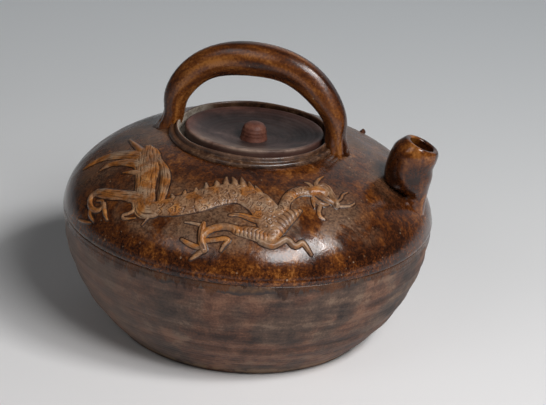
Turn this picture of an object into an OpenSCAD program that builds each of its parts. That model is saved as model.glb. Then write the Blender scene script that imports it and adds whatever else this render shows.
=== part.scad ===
// Stoneware dragon jar for serving: a round pot thrown in two halves, with a fixed overhead
// handle, a stub spout, a saucer lid sunk in the mouth and a dragon laid on the shoulder in relief.
// Millimetres, +Z up. The origin is the centre of the foot, on the surface that the jar stands on.
// The spout points along +X, the handle stands in the XZ plane and the dragon faces -Y.

/* [Pot] */
// Widest diameter of the pot, at the belly seam
belly_d = 255; // [230:1:280]
// Height of the belly seam
belly_z = 84.5; // [78:0.5:95]
// Diameter of the foot above its trimmed bevel
foot_d = 180; // [150:1:196]
// Height of the trimmed bevel round the foot
foot_h = 4; // [3:0.5:8]
// Width of the trimmed bevel round the foot
foot_bevel = 4; // [2:0.5:8]
// Thickness of the thrown walls
wall = 6; // [4:0.5:8]
// Thickness of the floor
floor_t = 7; // [5:0.5:10]
// Step at the belly seam, where the glazed upper half overhangs the lower
seam_step = 0.8; // [0.2:0.1:2]
// Height of the shoulder where the mouth collar stands on it
shoulder_z = 138.5; // [130:0.5:150]
// Thickness of the slip between two pieces of clay that are luted together
slip = 0.1; // [0.05:0.01:0.2]

/* [Mouth] */
// Outside diameter of the rim
rim_d = 107; // [95:1:118]
// Height of the rim above the foot of the collar
rim_h = 6; // [5:0.1:9]
// Thickness of the rim
rim_t = 2; // [1.6:0.1:3]
// How far the foot of the collar stands out past the rim
collar_flare = 4.5; // [4:0.5:8]
// Radius of the bead round the foot of the collar
bead_r = 2.2; // [1.6:0.1:2.4]
// Width of the ledge that carries the lid
ledge_w = 7; // [5:0.5:10]
// Depth of the ledge below the rim
ledge_drop = 7.8; // [5:0.1:9]
// Thickness of the ledge
ledge_t = 5; // [3:0.5:7]
// Breadth of the collar's seat on the shoulder
seat_w = 5.5; // [4:0.5:5.5]

/* [Lid] */
// Gap between the lid and the rim round it
lid_gap = 2.2; // [1.8:0.1:3]
// How far the loose lid lies off centre, towards the spout
lid_off = 0.5; // [0:0.1:1.4]
// Clearance between the lid and its ledge
lid_clear = 0.3; // [0.2:0.05:0.5]
// Height of the lid's edge
lid_edge_h = 4.8; // [3.5:0.1:6]
// Thickness of the lid at its middle
lid_t = 5; // [4:0.5:7]
// Depth of the dished top of the lid
dish_depth = 7; // [3:0.5:8]
// Diameter of the knob at its foot
knob_d = 18.5; // [16:0.5:26]
// Diameter of the knob near its top
knob_top_d = 14; // [12:0.5:18]
// Height of the knob
knob_h = 11.5; // [9:0.5:18]

/* [Handle] */
// Height of the handle's middle line above its roots, at the crown
handle_rise = 57; // [48:1:70]
// How far the roots of the handle stand outside the foot of the collar
handle_out = 2.5; // [0:0.5:5]
// Roundness of the handle's arch
arch_round = 2.15; // [1.9:0.05:2.6]
// Thickness of the handle at the crown
handle_t = 24.5; // [18:0.5:26]
// Width of the handle at the crown
handle_w = 21; // [16:0.5:30]
// Thickness of the handle at its roots
root_t = 11; // [8:0.5:14]
// Width of the handle at its roots
root_w = 17; // [12:0.5:22]

/* [Spout] */
// Latitude of the spout's foot, in degrees up the shoulder from the belly
spout_lat = 32.2; // [28:0.1:38]
// Outside diameter of the spout at its foot
spout_foot_d = 27; // [22:0.5:30]
// Largest outside diameter of the spout
spout_d = 33; // [28:0.5:36]
// Outside diameter of the spout's mouth
spout_mouth_d = 23; // [19:0.5:26]
// Height of the spout's mouth above its foot
spout_h = 34.5; // [28:0.5:45]
// How far the spout's mouth stands out past its foot
spout_reach = 9; // [7:0.5:20]
// Tilt of the spout's mouth
spout_tilt = 22; // [10:1:40]
// Wall of the spout at its foot
spout_wall = 6; // [4:0.5:7]
// Wall of the spout at its mouth
spout_lip = 2.5; // [2:0.1:3.5]

/* [Dragon] */
// Height of the dragon's torso above the shoulder
torso_h = 5; // [2:0.5:8]
// Half the breadth of the torso at its middle
torso_w = 9; // [6:0.5:10]
// Height of the dragon's limbs, neck and tail above the shoulder
limb_h = 4; // [2:0.5:6]
// Height of the dragon's fine pieces above the shoulder
fine_h = 2.4; // [1:0.2:4]
// Thickness of the edges of every piece of relief
edge_h = 0.6; // [0.3:0.1:1]
// Number of spines along the dragon's back
spines = 9; // [5:1:12]
// Length of each spine
spine_l = 4.5; // [3:0.5:6]
// Gap between a limb and the torso it grows from
limb_gap = 0.9; // [0.7:0.1:1.2]

/* [Hidden] */

// Colours of the fired clay and glaze
CLAY = [0.45, 0.35, 0.31];
GLAZE = [0.42, 0.28, 0.13];
LID_CLAY = [0.34, 0.26, 0.25];
TAN = [0.72, 0.50, 0.26];

// Steps along the wall of a profile, round a small arc and round a turned surface
WALL_STEPS = 28;
ARC_STEPS = 8;
ROUND = 96;

// Radii and heights of the pot
belly_r = belly_d / 2;
foot_r = foot_d / 2;
rim_r = rim_d / 2;
collar_r = rim_r + collar_flare;
rim_z = shoulder_z + rim_h;
rim_in_r = rim_r - rim_t;
throat_r = rim_in_r - ledge_w;
mouth_r = collar_r - seat_w;
ledge_z = rim_z - ledge_drop;

// Both halves of the pot are quarter ellipses that share the belly: the rise and the drop are the
// half heights at which the shoulder passes the collar's foot and the lower wall passes the pot's foot
rise = (shoulder_z - belly_z) / sqrt(1 - pow(collar_r / belly_r, 2));
drop = (belly_z - foot_h) / sqrt(1 - pow(foot_r / belly_r, 2));

// Places on the shoulder are an azimuth about Z and a latitude up from the belly, in degrees
function shoulder_r(lat) = belly_r * cos(lat);
function shoulder_h(lat) = belly_z + rise * sin(lat);
function latitude(r) = acos(r / belly_r);
function slope(lat) = [rise * cos(lat), belly_r * sin(lat)] / norm([rise * cos(lat), belly_r * sin(lat)]);
function profile(lat, lift) = [shoulder_r(lat), shoulder_h(lat)] + lift * slope(lat);
function turned(p, az) = [p.x * cos(az), p.x * sin(az), p.y];
function on_shoulder(az, lat, lift) = turned(profile(lat, lift), az);

// Curves: points of an ellipse's arc, of a circle's arc, and of a smooth line through chosen points
function oval(a, b, z, from, to, steps) =
    [for (i = [0:steps]) let (t = from + (to - from) * i / steps) [a * cos(t), z + b * sin(t)]];
function arc(centre, r, from, to) =
    [for (i = [0:ARC_STEPS]) let (t = from + (to - from) * i / ARC_STEPS) centre + r * [cos(t), sin(t)]];
function between(a, b, c, d, t) =
    b + (c - a) * t / 2 + (2 * a - 5 * b + 4 * c - d) * t * t / 2 + (3 * b - a - 3 * c + d) * t * t * t / 2;
function smooth(p, steps) = concat(
    [for (i = [0:len(p) - 2]) for (k = [0:steps - 1])
        between(p[max(i - 1, 0)], p[i], p[i + 1], p[min(i + 2, len(p) - 1)], k / steps)],
    [p[len(p) - 1]]);

// A solid through a row of rings with equally many points, closed at both ends or run round in a loop
module skin(rings, loop = false) {
    m = len(rings[0]);
    n = len(rings);
    last = loop ? n - 1 : n - 2;
    sides = [for (i = [0:last]) for (j = [0:m - 1]) each let (
        a = i * m + j,
        b = i * m + (j + 1) % m,
        c = ((i + 1) % n) * m + (j + 1) % m,
        d = ((i + 1) % n) * m + j) [[a, c, b], [a, d, c]]];
    caps = loop ? [] : [for (j = [0:m / 2 - 2]) each let (
        a = j,
        b = j + 1,
        c = m - 2 - j,
        d = m - 1 - j,
        e = (n - 1) * m) [[a, b, c], [a, c, d], [e + a, e + c, e + b], [e + a, e + d, e + c]]];
    polyhedron(points = [for (r = rings) each r], faces = concat(sides, caps));
}

// Outline of the collar outside the pot, from its foot over the bead and the groove to the rim's top
bead_centre = [collar_r - bead_r, shoulder_z + bead_r / 2];
BEAD_FROM = -20;
BEAD_TO = 110;
GROOVE_OUT = 0.8;
GROOVE_DROP = 3.3;
function collar_outline(lift) = concat(
    [profile(latitude(collar_r), lift)],
    arc(bead_centre, bead_r + lift, BEAD_FROM, BEAD_TO),
    [[rim_r + GROOVE_OUT + lift, rim_z - GROOVE_DROP + lift]],
    arc([rim_r - rim_t / 2, rim_z - rim_t / 2], rim_t / 2 + lift, 0, 180));

module lower_bowl() {
    foot_lat = asin((belly_z - foot_h) / drop);
    floor_lat = asin((belly_z - floor_t) / (drop - wall));
    outside = oval(belly_r - seam_step, -drop, belly_z, 0, foot_lat, WALL_STEPS);
    inside = oval(belly_r - wall, wall - drop, belly_z, floor_lat, 0, WALL_STEPS);
    color(CLAY) rotate_extrude($fn = ROUND)
        polygon(concat(outside, [[foot_r - foot_bevel, 0], [0, 0], [0, floor_t]], inside));
}

// The pouring hole runs square through the shoulder under the spout
spout_r = shoulder_r(spout_lat);
spout_lean = atan2(slope(spout_lat).x, slope(spout_lat).y);
spout_bore_d = spout_foot_d - 2 * spout_wall;

module shoulder() {
    outer_lat = latitude(mouth_r);
    inner_lat = acos(mouth_r / (belly_r - wall));
    outside = oval(belly_r, rise, belly_z, 0, outer_lat, WALL_STEPS);
    inside = oval(belly_r - wall, rise - wall, belly_z, inner_lat, 0, WALL_STEPS);
    lifted = [for (p = concat(outside, inside)) [p.x, max(p.y, belly_z + slip)]];
    color(GLAZE) difference() {
        rotate_extrude($fn = ROUND) polygon(lifted);
        translate(on_shoulder(0, spout_lat, 0)) rotate([0, spout_lean, 0])
            cylinder(d = spout_bore_d, h = 4 * wall, center = true, $fn = ROUND);
    }
}

module mouth_collar() {
    inner_lat = latitude(mouth_r - slip);
    seat = [for (i = [0:ARC_STEPS - 1])
        profile(inner_lat + (latitude(collar_r) - inner_lat) * i / ARC_STEPS, slip)];
    ledge = [[rim_in_r, ledge_z], [throat_r, ledge_z], [throat_r, ledge_z - ledge_t],
        [mouth_r - slip, ledge_z - ledge_t]];
    color(GLAZE) rotate_extrude($fn = ROUND) polygon(concat(seat, collar_outline(slip), ledge));
}

// The lid's seat, edge and dish, about the lid's own middle
lid_r = rim_in_r - lid_gap;
lid_seat_z = ledge_z + lid_clear;
lid_top_z = lid_seat_z + lid_edge_h;
dish_z = lid_top_z - dish_depth;
flange_r = throat_r - lid_gap;
EDGE_ROUND = 1.2;
KNOB_FLAT = 1;
flat_r = knob_d / 2 + KNOB_FLAT;
dish_r = lid_r - 2 * EDGE_ROUND;
function dish(r) = dish_z + dish_depth * pow(max(r - flat_r, 0) / (dish_r - flat_r), 2);

module lid_plate() {
    top = [for (i = [0:ARC_STEPS]) let (r = flat_r + (dish_r - flat_r) * i / ARC_STEPS) [r, dish(r)]];
    under = [for (i = [ARC_STEPS:-1:0]) let (r = flat_r + (flange_r - flat_r) * i / ARC_STEPS)
        [r, dish(r) - lid_t]];
    edge = arc([lid_r - EDGE_ROUND, lid_top_z - EDGE_ROUND], EDGE_ROUND, 90, 0);
    color(LID_CLAY) translate([lid_off, 0, 0]) rotate_extrude($fn = ROUND)
        polygon(concat([[0, dish_z]], top, edge, [[lid_r, lid_seat_z], [flange_r, lid_seat_z]], under,
            [[0, dish_z - lid_t]]));
}

module lid_knob() {
    KNOB_ROUND = 4;
    KNOB_WAIST = 0.8;
    top_r = knob_top_d / 2;
    side = smooth([[knob_d / 2, 0], [knob_d / 2 - KNOB_WAIST, knob_h / 5], [top_r, knob_h - KNOB_ROUND]],
        ARC_STEPS);
    crown = [for (i = [1:ARC_STEPS]) let (a = 90 * i / ARC_STEPS)
        [top_r * cos(a), knob_h - KNOB_ROUND + KNOB_ROUND * sin(a)]];
    color(LID_CLAY) translate([lid_off, 0, dish_z + slip]) rotate_extrude($fn = ROUND)
        polygon(concat([[0, 0]], side, crown));
}

// The handle's middle line is half a superellipse
HANDLE_STEPS = 44;
HANDLE_SIDES = 20;
HANDLE_SINK = 8;
ROOT_SWELL = 0.8;
span_r = collar_r + handle_out;
root_z = shoulder_h(latitude(span_r));
function arch(a) = let (power = 2 / arch_round)
    [sign(cos(a)) * span_r * pow(abs(cos(a)), power), root_z + handle_rise * pow(sin(a), power)];
function handle_ring(a) = let (
    c = arch(a),
    ahead = arch(min(a + 0.5, 180)) - arch(max(a - 0.5, 0)),
    out = [ahead.y, -ahead.x] / norm(ahead),
    swell = pow(sin(a), ROOT_SWELL),
    t = root_t + (handle_t - root_t) * swell,
    w = root_w + (handle_w - root_w) * swell)
    [for (j = [0:HANDLE_SIDES - 1]) let (s = 360 * j / HANDLE_SIDES, p = c + out * t / 2 * cos(s))
        [p.x, w / 2 * sin(s), p.y]];
function sunk(ring) = [for (p = ring) p - [0, 0, HANDLE_SINK]];

module handle() {
    rings = [for (i = [0:HANDLE_STEPS]) handle_ring(180 * i / HANDLE_STEPS)];
    seat = concat(
        [for (i = [0:WALL_STEPS]) profile(latitude(collar_r) * i / WALL_STEPS, slip)],
        collar_outline(2 * slip));
    color(GLAZE) difference() {
        skin(concat([sunk(rings[0])], rings, [sunk(rings[HANDLE_STEPS])]));
        rotate_extrude($fn = ROUND) polygon(concat(seat, [[0, rim_z], [0, belly_z]]));
    }
}

// Stations of the spout: distance out, height, tilt and outside diameter
SPOUT_STEPS = 3;
SPOUT_SIDES = 24;
ROOT_TILT = 24;
WAIST_TILT = 10;
LIP_RISE = 0.8;
spout_stations = smooth([
    [0, 0, spout_lean, spout_foot_d],
    [0.22 * spout_reach, 0.29 * spout_h, ROOT_TILT, (spout_foot_d + spout_d) / 2],
    [0.37 * spout_reach, 0.58 * spout_h, WAIST_TILT, spout_d],
    [0.60 * spout_reach, 0.82 * spout_h, (WAIST_TILT + spout_tilt) / 2, spout_d - 1],
    [0.82 * spout_reach, 0.95 * spout_h, spout_tilt - 4, (spout_d + spout_mouth_d) / 2],
    [spout_reach, spout_h, spout_tilt, spout_mouth_d]], SPOUT_STEPS);
function spout_ring(s, wall_t, up) = [for (j = [0:SPOUT_SIDES - 1]) let (
    a = 360 * j / SPOUT_SIDES,
    q = (s[3] / 2 - wall_t) * [cos(a), sin(a)],
    x = q.x * cos(s[2]) + up * sin(s[2]),
    z = up * cos(s[2]) - q.x * sin(s[2]))
    [spout_r + s[0] + x, q.y, shoulder_h(spout_lat) + s[1] + z]];
// The foot of the spout is laid on the shoulder: each point keeps its azimuth and its distance round the pot
function laid(p) = on_shoulder(atan2(p.y, p.x), latitude(norm([p.x, p.y])), slip);

module spout() {
    n = len(spout_stations) - 1;
    outer = [for (i = [1:n]) spout_ring(spout_stations[i], 0, 0)];
    lip = [spout_ring(spout_stations[n], spout_lip / 2, LIP_RISE)];
    inner = [for (i = [n:-1:1])
        spout_ring(spout_stations[i], spout_wall + (spout_lip - spout_wall) * pow(i / n, 2), 0)];
    foot = [for (p = spout_ring(spout_stations[0], 0, 0)) laid(p)];
    bore = [for (p = spout_ring(spout_stations[0], spout_wall, 0)) laid(p)];
    color(GLAZE) skin(concat([foot], outer, lip, inner, [bore]), true);
}

// Relief: a half-round strip of clay that follows a line of [azimuth, latitude, half breadth] on the shoulder
ACROSS = 6;
ALONG = 3;
function arc_len(lat) = norm([belly_r * sin(lat), rise * cos(lat)]);
function mm_per_degree(p) = [shoulder_r(p[1]), arc_len(p[1])] * PI / 180;
function beside(p, q, shift) = let (
    k = mm_per_degree(p),
    go = [(q[0] - p[0]) * k.x, (q[1] - p[1]) * k.y],
    side = [-go.y, go.x] / norm(go))
    [p[0] + shift * side.x / k.x, p[1] + shift * side.y / k.y];
function strip_ring(line, i, h) = let (
    n = len(line) - 1,
    p = line[i],
    back = line[max(i - 1, 0)],
    ahead = p + line[min(i + 1, n)] - back,
    under = [for (j = [0:ACROSS]) beside(p, ahead, p[2] * (2 * j / ACROSS - 1))],
    top = [for (j = [ACROSS:-1:0]) edge_h + (h - edge_h) * sqrt(1 - pow(2 * j / ACROSS - 1, 2))])
    concat([for (u = under) on_shoulder(u[0], u[1], slip)],
        [for (j = [0:ACROSS]) on_shoulder(under[ACROSS - j][0], under[ACROSS - j][1], slip + top[j])]);
module strip(line, h) {
    fine = smooth(line, ALONG);
    skin([for (i = [0:len(fine) - 1]) strip_ring(fine, i, h)]);
}

// Points of the dragon's main lines at which a piece grows out, and how far it first runs straight
NECK_AT = 5.7 * ALONG;
NEAR_LEG_AT = 6.7 * ALONG;
RAISED_LEG_AT = 7.1 * ALONG;
FAR_LEG_AT = 2.7 * ALONG;
STEM = 5;

// The torso runs from the tail's root over the back's arch to the chest, the skull from crown to snout,
// and the tail from the torso's end up the shoulder. The other pieces grow from these three lines.
torso = smooth([
    [-111.5, 33, 0.7 * torso_w], [-105, 37, 0.85 * torso_w], [-97.5, 41, 0.95 * torso_w],
    [-88.5, 46, torso_w], [-80.5, 47.5, torso_w], [-73, 44, torso_w],
    [-68, 38.5, 1.3 * torso_w], [-66, 33, 1.2 * torso_w],
    [-66.5, 28, 0.6 * torso_w]], ALONG);
skull = smooth([[-44.5, 49, 3], [-42, 47.5, 5.5], [-39.5, 44.5, 5], [-37.5, 42, 3.2], [-36.5, 40, 2]], ALONG);
tail = smooth(concat(past(torso[0], torso[1], 2, STEM / 2), [
    [-117, 33.5, 4.2], [-121.5, 39, 7], [-126, 44, 8], [-132, 48.5, 6.5], [-139.5, 51.5, 4.5],
    [-146, 52, 3]]), ALONG);

// Two places that run on past the start of a line, and two that run out beside a line, left (1) or right (-1)
function past(p, q, half_w, run) = [for (gap = [limb_gap, limb_gap + run]) let (
    k = mm_per_degree(p),
    go = [(p[0] - q[0]) * k.x, (p[1] - q[1]) * k.y],
    step = gap / norm(go))
    [p[0] + step * go.x / k.x, p[1] + step * go.y / k.y, half_w]];
function side_of(line, at, hand, gap) = let (i = round(at))
    beside(line[i], line[i] + line[i + 1] - line[max(i - 1, 0)], hand * (line[i][2] + gap));
function stem(line, at, hand, half_w, run) = [for (gap = [limb_gap, limb_gap + run])
    let (p = side_of(line, at, hand, gap)) [p.x, p.y, half_w]];

module dragon_torso() {
    color(TAN) skin([for (i = [0:len(torso) - 1]) strip_ring(torso, i, torso_h)]);
}

module dragon_neck() {
    nape = past(skull[0], skull[1], 2.4, STEM / 2);
    color(TAN) strip(concat(stem(torso, NECK_AT, 1, 3.5, STEM), [[-56, 49.5, 4.2], [-51.5, 50.5, 3.8]],
        [nape[1], nape[0]]), limb_h);
}

module dragon_head() {
    jaw = [[-45.5, 44, 1], [-43.5, 41.5, 1.6], [-41.5, 39.5, 1.2], [-39.5, 38, 0.5]];
    color(TAN) {
        skin([for (i = [0:len(skull) - 1]) strip_ring(skull, i, torso_h)]);
        strip(jaw, limb_h);
    }
}

module dragon_horns() {
    color(TAN) {
        strip(concat(stem(skull, 1.8 * ALONG, 1, 1.4, STEM / 2), [[-33.5, 55.5, 0.4]]), fine_h);
        strip(concat(stem(skull, 0.7 * ALONG, 1, 1.4, STEM / 2), [[-38.5, 57.5, 0.4]]), fine_h);
    }
}

module dragon_whiskers() {
    color(TAN) {
        strip(concat(stem(skull, 3.4 * ALONG, 1, 1, STEM / 2), [[-29, 43.5, 0.4]]), fine_h);
        strip([[-35, 39.5, 0.9], [-32.5, 38, 0.8], [-29.5, 38, 0.4]], fine_h);
    }
}

module dragon_beard() {
    color(TAN) strip([[-48, 43, 1.4], [-49.5, 39, 1.5], [-48.5, 35, 0.5]], fine_h);
}

module dragon_crest() {
    SPINE_FROM = 3;
    SPINE_W = 1.7;
    last = NECK_AT - 4;
    color(TAN) for (k = [0:spines - 1]) {
        i = round(SPINE_FROM + (last - SPINE_FROM) * k / (spines - 1));
        foot = side_of(torso, i, 1, limb_gap);
        tip = side_of(torso, i, 1, limb_gap + spine_l);
        strip([[foot.x, foot.y, SPINE_W], [tip.x, tip.y, SPINE_W / 4]], fine_h);
    }
}

module dragon_near_hind_leg() {
    color(TAN) strip(concat(stem(torso, NEAR_LEG_AT, -1, 2.8, STEM), [[-80, 30, 4.8], [-84.5, 30.5, 4],
        [-88.5, 29, 3.4], [-91, 26.5, 3.2], [-90, 22, 3.2], [-89, 18.5, 3.6]]), limb_h);
}

module dragon_claws() {
    color(TAN) {
        strip([[-91.5, 18.5, 1.7], [-94.5, 19, 1.5], [-97, 21.5, 0.5]], fine_h);
        strip([[-89, 15.5, 1.7], [-90, 12.5, 1.5], [-93, 11.5, 0.5]], fine_h);
        strip([[-87, 22, 1.7], [-83.5, 24, 1.5], [-82, 22.5, 1.2], [-83, 19, 0.5]], fine_h);
        strip([[-94, 28, 1.2], [-96, 29.5, 1.2], [-98.5, 30, 0.4]], fine_h);
    }
}

module dragon_fore_leg() {
    n = len(torso) - 1;
    color(TAN) strip(concat(past(torso[n], torso[n - 1], 1.3, STEM / 2), [[-65.5, 23, 1.7],
        [-63, 23, 2.1], [-60, 24.5, 2.1], [-58, 23, 2], [-56, 20, 1.8], [-55, 17, 0.6]]),
        limb_h);
}

module dragon_raised_fore_leg() {
    color(TAN) strip(concat(stem(torso, RAISED_LEG_AT, 1, 1.8, STEM / 2), [[-56, 37, 1.9],
        [-54.5, 40, 1.5], [-53, 43, 0.6]]), limb_h);
}

module dragon_far_hind_leg() {
    color(TAN) strip(concat(stem(tail, FAR_LEG_AT, 1, 2.6, STEM), [[-133, 28.5, 2.8], [-138.5, 25.5, 2.4],
        [-138, 20, 2], [-134, 18, 1.4], [-131, 20.5, 0.6]]), limb_h);
}

module dragon_tail() {
    color(TAN) skin([for (i = [0:len(tail) - 1]) strip_ring(tail, i, limb_h)]);
}

module dragon_tail_plume() {
    n = len(tail) - 1;
    color(TAN) {
        strip(concat(past(tail[n], tail[n - 1], 2, STEM), [[-154.5, 45.5, 3.2], [-157.5, 40.5, 3.4],
            [-160, 32.5, 2.6], [-162, 23.5, 0.6]]), limb_h);
        strip(concat(stem(tail, n - ALONG, 1, 1.4, STEM), [[-147, 39, 2], [-150, 32, 0.6]]), fine_h);
        strip([[-151, 52.5, 1.4], [-157.5, 51.5, 1.4], [-165.5, 48, 0.4]], fine_h);
    }
}

module dragon_scrolls() {
    color(TAN) {
        strip([[-116.5, 25.5, 1], [-119, 24, 1.3], [-121, 22.5, 0.4]], fine_h);
        strip([[-126, 27, 0.8], [-129.5, 25.5, 1.2], [-128.5, 22.5, 0.9], [-125.5, 23, 0.4]], fine_h);
        strip([[-137, 11.5, 0.6], [-139, 8.5, 1.3], [-139.5, 4.5, 0.5]], fine_h);
    }
}

lower_bowl();
shoulder();
mouth_collar();
lid_plate();
lid_knob();
handle();
spout();
dragon_torso();
dragon_neck();
dragon_head();
dragon_horns();
dragon_whiskers();
dragon_beard();
dragon_crest();
dragon_near_hind_leg();
dragon_far_hind_leg();
dragon_fore_leg();
dragon_raised_fore_leg();
dragon_claws();
dragon_tail();
dragon_tail_plume();
dragon_scrolls();
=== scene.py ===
# %% [markdown]
# # A stoneware dragon jar
# The jar is a round pot with an overhead handle, a stub spout, a loose lid and a dragon laid on its shoulder
# in relief. The CAD model is loaded first as a fixed frame, and every piece made here sits in that frame, in
# metres. Its parts are kept, hidden where a finished piece takes their place.

# %% Load the frame
import math

import bpy
import numpy as np
from mathutils import Matrix, Vector


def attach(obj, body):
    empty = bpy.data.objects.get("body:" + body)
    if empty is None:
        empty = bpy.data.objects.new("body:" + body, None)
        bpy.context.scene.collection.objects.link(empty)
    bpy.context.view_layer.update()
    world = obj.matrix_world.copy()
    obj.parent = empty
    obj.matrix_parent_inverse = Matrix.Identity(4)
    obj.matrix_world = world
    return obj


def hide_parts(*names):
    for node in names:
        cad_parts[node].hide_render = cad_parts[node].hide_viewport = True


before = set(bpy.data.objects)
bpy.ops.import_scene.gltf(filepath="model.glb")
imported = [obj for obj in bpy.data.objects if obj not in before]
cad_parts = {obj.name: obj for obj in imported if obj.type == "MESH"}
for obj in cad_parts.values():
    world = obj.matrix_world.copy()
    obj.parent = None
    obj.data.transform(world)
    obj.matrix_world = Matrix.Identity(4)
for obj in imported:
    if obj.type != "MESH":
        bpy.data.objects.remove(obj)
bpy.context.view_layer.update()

# %% [markdown]
# ## The camera
# The photograph looks down on the jar from a little to the right of its front. A long lens from a good
# distance keeps the ellipses of the mouth and the belly as flat as they are there. The camera was held a
# little askew, so it is rolled by four degrees, and the shift puts the jar left of the middle of the frame.

# %% Camera
VIEW_AZ = math.radians(14)
VIEW_EL = math.radians(23.1)
VIEW_ROLL = math.radians(3.9)
VIEW_DISTANCE = 1.6
VIEW_AT = Vector((0, 0, 0.095))
FILM_WIDTH = 36
LENS = 151.8
FILM_SHIFT = (0.0439, -0.0147)


def towards(az, el):
    """A unit vector towards an azimuth, counted from +X, and an elevation."""
    return Vector((math.cos(az) * math.cos(el), math.sin(az) * math.cos(el), math.sin(el)))


to_camera = towards(VIEW_AZ - math.pi / 2, VIEW_EL)
aim = (Matrix.Rotation(VIEW_AZ, 3, "Z") @ Matrix.Rotation(math.pi / 2 - VIEW_EL, 3, "X")
       @ Matrix.Rotation(VIEW_ROLL, 3, "Z"))
bpy.ops.object.camera_add(location=VIEW_AT + VIEW_DISTANCE * to_camera, rotation=aim.to_euler())
camera = bpy.context.object
camera.data.sensor_width = FILM_WIDTH
camera.data.lens = LENS
camera.data.shift_x, camera.data.shift_y = FILM_SHIFT
bpy.context.scene.camera = camera
bpy.context.scene.view_settings.view_transform = "Standard"
print("camera stands at", tuple(round(v, 3) for v in camera.location))

# %% [markdown]
# ## Shader sums in plain Python
# A material is a graph of nodes. Wiring it by hand is slow to read, so one small class wraps a socket: sums
# on it add Math nodes, and its method `node` adds any other node. The helpers below it name the few patterns
# that fired clay needs, such as clouds of noise, a soft step from 0 to 1 and a blend of two colours.

# %% Shader class and helpers


class Shade:
    """A socket in a node tree. Sums on it add Math nodes."""

    def __init__(self, tree, socket=None):
        self.tree = tree
        self.socket = socket

    def node(self, kind, settings, feeds, out=None):
        made = self.tree.nodes.new(kind)
        for key, value in settings.items():
            if key == "stops":
                elements = made.color_ramp.elements
                while len(elements) < len(value):
                    elements.new(1.0)
                for stop, (at, colour) in zip(elements, value):
                    stop.position = at
                    stop.color = (*colour, 1)
            else:
                setattr(made, key, value)
        for key, value in feeds.items():
            socket = next(s for s in made.inputs if s.identifier == key)
            if isinstance(value, Shade):
                self.tree.links.new(value.socket, socket)
            elif socket.type == "RGBA":
                socket.default_value = (*value, 1)
            else:
                socket.default_value = value
        found = [s for s in made.outputs if out in (None, s.identifier)]
        return Shade(self.tree, found[0] if found else None)

    def sum(self, operation, a, b):
        return self.node("ShaderNodeMath", {"operation": operation}, {"Value": a, "Value_001": b})

    def __add__(self, other):
        return self.sum("ADD", self, other)

    __radd__ = __add__

    def __sub__(self, other):
        return self.sum("SUBTRACT", self, other)

    def __rsub__(self, other):
        return self.sum("SUBTRACT", other, self)

    def __mul__(self, other):
        return self.sum("MULTIPLY", self, other)

    __rmul__ = __mul__

    def __truediv__(self, other):
        return self.sum("DIVIDE", self, other)

    def __rtruediv__(self, other):
        return self.sum("DIVIDE", other, self)


def srgb(*levels):
    """A screen colour of 0 to 255 as the linear colour that a shader takes."""
    return tuple(v / 255 / 12.92 if v < 10.4 else ((v / 255 + 0.055) / 1.055) ** 2.4 for v in levels)


def clouds(at, scale, detail=3.0, roughness=0.55, distortion=0.0):
    return at.node("ShaderNodeTexNoise", {}, {"Vector": at, "Scale": scale, "Detail": detail,
                   "Roughness": roughness, "Distortion": distortion}, "Fac")


def step(value, low, high):
    return value.node("ShaderNodeMapRange", {"interpolation_type": "SMOOTHSTEP"},
                      {"Value": value, "From Min": low, "From Max": high})


def blend(mask, under, over):
    return mask.node("ShaderNodeMix", {"data_type": "RGBA"},
                     {"Factor_Float": mask, "A_Color": under, "B_Color": over}, "Result_Color")


def ramp(value, stops):
    return value.node("ShaderNodeValToRGB", {"stops": stops}, {"Fac": value}, "Color")


def tones(value, *stops):
    """A ramp of screen colours. Each stop is its place, then red, green and blue."""
    return ramp(value, [(place, srgb(*levels)) for place, *levels in stops])


def vector(x, y, z):
    return x.node("ShaderNodeCombineXYZ", {}, {"X": x, "Y": y, "Z": z})


def carried(at, name, out="Fac"):
    """What the vertices of a piece carry under a name."""
    return at.node("ShaderNodeAttribute", {"attribute_name": name}, {}, out)


def bumpy(height, strength, distance):
    return height.node("ShaderNodeBump", {}, {"Strength": strength, "Distance": distance, "Height": height})


def start(name):
    """A new material and, as a socket, the place on the piece that wears it."""
    made = bpy.data.materials.new(name)
    made.use_nodes = True
    made.node_tree.nodes.clear()
    return made, Shade(made.node_tree).node("ShaderNodeTexCoord", {}, {}, "Object")


def finish_surface(colour, rough, more):
    feeds = {"Base Color": colour, "Roughness": rough, **more}
    surface = colour.node("ShaderNodeBsdfPrincipled", {}, feeds)
    colour.node("ShaderNodeOutputMaterial", {}, {"Surface": surface})


def round_the_pot(at):
    """A place's height, its distance from the jar's axis, and the x and y of its direction from that axis."""
    x, y, z = (at.node("ShaderNodeSeparateXYZ", {}, {"Vector": at}, axis) for axis in "XYZ")
    flat = vector(x, y, 0.0)
    radius = at.node("ShaderNodeVectorMath", {"operation": "LENGTH"}, {"Vector": flat}, "Value")
    facing = at.node("ShaderNodeVectorMath", {"operation": "NORMALIZE"}, {"Vector": flat}, "Vector")
    to_x, to_y = (at.node("ShaderNodeSeparateXYZ", {}, {"Vector": facing}, axis) for axis in "XY")
    return z, radius, to_x, to_y


def spots(at, scale, share, size):
    """Round spots, one in a share of the cells of a random grid."""
    cell = {"Vector": at, "Scale": scale}
    distance = at.node("ShaderNodeTexVoronoi", {}, cell, "Distance")
    colour = at.node("ShaderNodeTexVoronoi", {}, cell, "Color")
    chance = at.node("ShaderNodeSeparateColor", {}, {"Color": colour}, "Red")
    width = at.node("ShaderNodeSeparateColor", {}, {"Color": colour}, "Green")
    return step(chance, 1 - share - 0.01, 1 - share) * (1 - step(distance / (width + 0.5), 0.5 * size, size))


print("shader helpers are ready")
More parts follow.
